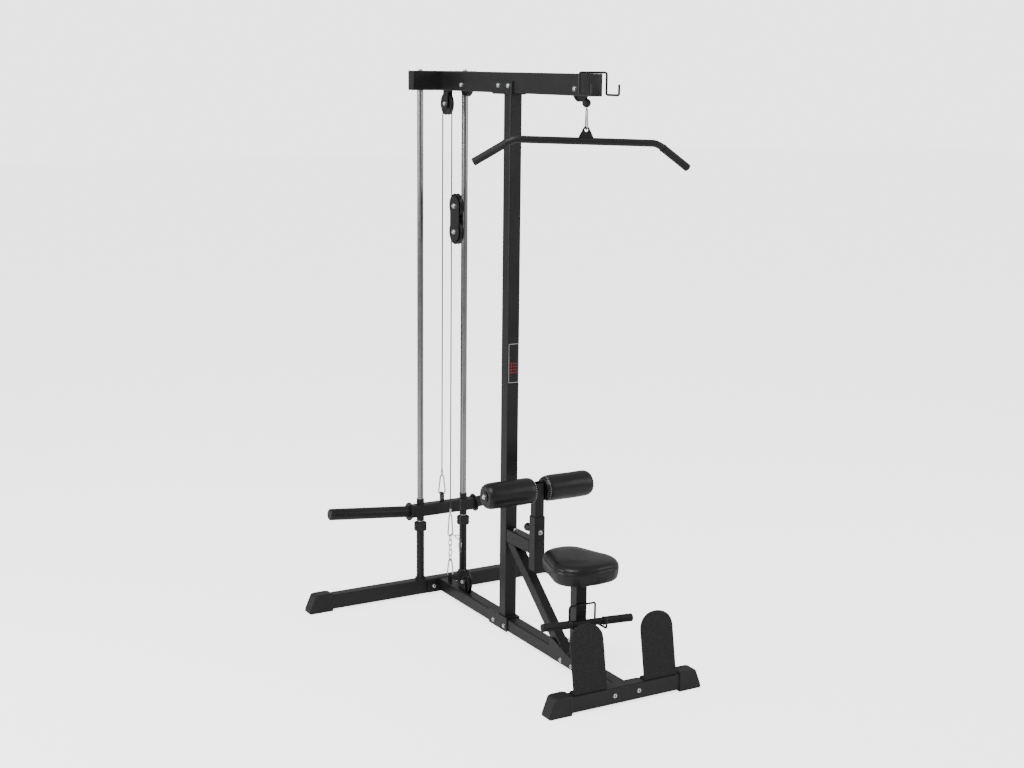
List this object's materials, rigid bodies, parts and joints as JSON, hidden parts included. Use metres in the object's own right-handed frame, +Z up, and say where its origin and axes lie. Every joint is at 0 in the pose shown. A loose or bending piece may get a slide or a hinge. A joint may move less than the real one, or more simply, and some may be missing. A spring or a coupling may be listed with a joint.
{
  "type": "lat pulldown tower",
  "caption": "Free-standing plate-loaded lat pulldown and low row tower with guide rods, cable pulleys, thigh rollers, seat and foot rests.",
  "frame": {"origin": "on the floor, at the centre of the footprint", "axes": "+Z up; -Y towards the front where the foot rests and the pull bar are; +X to the right seen from the front"},
  "size_m": [1.216, 1.4252, 2.1482],
  "materials": {
    "frame_paint": "fine textured black powder coat",
    "rod_chrome": "polished chrome plate",
    "zinc": "bright zinc plate",
    "cable": "steel wire rope in a thin clear nylon coat",
    "nylon": "moulded black nylon",
    "foot_plastic": "moulded black plastic",
    "rubber": "matt black rubber",
    "upholstery": "semi-gloss black leatherette"
  },
  "bodies": {
    "tower": {"front_crossbeam": "frame_paint", "rear_crossbeam": "frame_paint", "foot_cap_front_left": "foot_plastic", "foot_cap_front_right": "foot_plastic", "foot_cap_rear_left": "foot_plastic", "foot_cap_rear_right": "foot_plastic", "base_beam_rear": "frame_paint", "base_beam_front": "frame_paint", "column": "frame_paint", "top_beam": "frame_paint", "top_crosspiece": "frame_paint", "guide_rod_left": "rod_chrome", "guide_rod_right": "rod_chrome", "rod_post_left": "frame_paint", "rod_post_right": "frame_paint", "rod_buffer_left": "rubber", "rod_buffer_right": "rubber", "diagonal_brace": "frame_paint", "roller_sleeve": "frame_paint", "seat_post": "frame_paint", "seat_pad": "upholstery", "footrest_left": "frame_paint", "footrest_right": "frame_paint", "top_bar_hook": "frame_paint", "low_bar_hook": "frame_paint", "rear_pulley_bracket": "frame_paint", "row_rear_bracket": "frame_paint", "row_front_bracket": "frame_paint", "anchor_chain": "zinc", "anchor_snap_hook": "zinc", "cable_snap_hook": "zinc", "lat_cable_run": "cable", "lat_cable_end": "cable", "row_cable_run": "cable"},
    "carriage": {"weight_carriage": "frame_paint", "plate_sleeve_left": "frame_paint", "plate_sleeve_right": "frame_paint", "carriage_snap_hook": "zinc", "carriage_cable": "cable"},
    "lat_handle": {"lat_bar": "frame_paint", "lat_snap_hook": "zinc", "cable_stop_ball": "rubber", "lat_cable_drop": "cable"},
    "front_sheave": {"lat_pulley_front": "nylon"},
    "middle_sheave": {"lat_pulley_middle": "nylon"},
    "top_rear_sheave": {"lat_pulley_rear": "nylon"},
    "block": {"block_bracket": "frame_paint", "lat_cable_loop": "cable", "row_cable_loop": "cable"},
    "block_upper_sheave": {"block_pulley_upper": "nylon"},
    "block_lower_sheave": {"block_pulley_lower": "nylon"},
    "row_handle": {"row_bar": "frame_paint", "row_snap_hook": "zinc", "row_cable_drop": "cable"},
    "row_rear_sheave": {"row_pulley_rear": "nylon"},
    "row_front_sheave": {"row_pulley_front": "nylon"},
    "roller_mast": {"roller_post": "frame_paint"},
    "roller_left": {"thigh_roller_left": "upholstery"},
    "roller_right": {"thigh_roller_right": "upholstery"},
    "height_pin": {"adjuster_pin": "nylon"}
  },
  "joints": [
    {"name": "carriage_lift", "type": "slide", "parent": "tower", "child": "carriage", "axis": [0, 0, 1], "range_m": [0, 1.1], "deforming": ["carriage_cable"]},
    {"name": "lat_pull", "type": "slide", "parent": "tower", "child": "lat_handle", "axis": [0, 0, -1], "range_m": [0, 1.1], "deforming": ["lat_cable_drop"]},
    {"name": "front_pulley_spin", "type": "hinge", "parent": "tower", "child": "front_sheave", "pos_m": [0, -0.3376, 2.089], "axis": [1, 0, 0], "continuous": true},
    {"name": "middle_pulley_spin", "type": "hinge", "parent": "tower", "child": "middle_sheave", "pos_m": [0, 0.4751, 2.089], "axis": [1, 0, 0], "continuous": true},
    {"name": "top_rear_pulley_spin", "type": "hinge", "parent": "tower", "child": "top_rear_sheave", "pos_m": [0, 0.6371, 2.0139], "axis": [1, 0, 0], "continuous": true},
    {"name": "block_drop", "type": "slide", "parent": "tower", "child": "block", "axis": [0, 0, -1], "range_m": [0, 0.45], "deforming": ["lat_cable_loop", "row_cable_loop"]},
    {"name": "block_upper_spin", "type": "hinge", "parent": "block", "child": "block_upper_sheave", "pos_m": [0, 0.5561, 1.619], "axis": [1, 0, 0], "continuous": true},
    {"name": "block_lower_spin", "type": "hinge", "parent": "block", "child": "block_lower_sheave", "pos_m": [0, 0.5561, 1.517], "axis": [1, 0, 0], "continuous": true},
    {"name": "row_pull", "type": "slide", "parent": "tower", "child": "row_handle", "axis": [0, -0.6, 0.8], "range_m": [0, 0.9]},
    {"name": "row_rear_pulley_spin", "type": "hinge", "parent": "tower", "child": "row_rear_sheave", "pos_m": [0, 0.4701, 0.099], "axis": [1, 0, 0], "continuous": true},
    {"name": "row_front_pulley_spin", "type": "hinge", "parent": "tower", "child": "row_front_sheave", "pos_m": [0, -0.4601, 0.094], "axis": [1, 0, 0], "continuous": true},
    {"name": "roller_height", "type": "slide", "parent": "tower", "child": "roller_mast", "axis": [0, 0, 1], "range_m": [0, 0.1]},
    {"name": "roller_left_spin", "type": "hinge", "parent": "roller_mast", "child": "roller_left", "pos_m": [-0.12, -0.0911, 0.62], "axis": [1, 0, 0], "continuous": true},
    {"name": "roller_right_spin", "type": "hinge", "parent": "roller_mast", "child": "roller_right", "pos_m": [0.12, -0.0911, 0.62], "axis": [1, 0, 0], "continuous": true},
    {"name": "pin_pull", "type": "slide", "parent": "tower", "child": "height_pin", "axis": [0, 1, 0], "range_m": [-0.007, 0.002]}
  ],
  "couplings": [
    {"joint": "lat_pull", "follows": "carriage_lift", "ratio": 1},
    {"joint": "front_pulley_spin", "follows": "carriage_lift", "rad_per_m": 26.316},
    {"joint": "middle_pulley_spin", "follows": "carriage_lift", "rad_per_m": 26.316},
    {"joint": "top_rear_pulley_spin", "follows": "carriage_lift", "rad_per_m": 26.316},
    {"joint": "block_upper_spin", "follows": "carriage_lift", "rad_per_m": -23.256},
    {"joint": "row_pull", "follows": "block_drop", "ratio": 2},
    {"joint": "block_lower_spin", "follows": "block_drop", "rad_per_m": 23.256},
    {"joint": "row_rear_pulley_spin", "follows": "block_drop", "rad_per_m": -46.512},
    {"joint": "row_front_pulley_spin", "follows": "block_drop", "rad_per_m": -52.632}
  ]
}
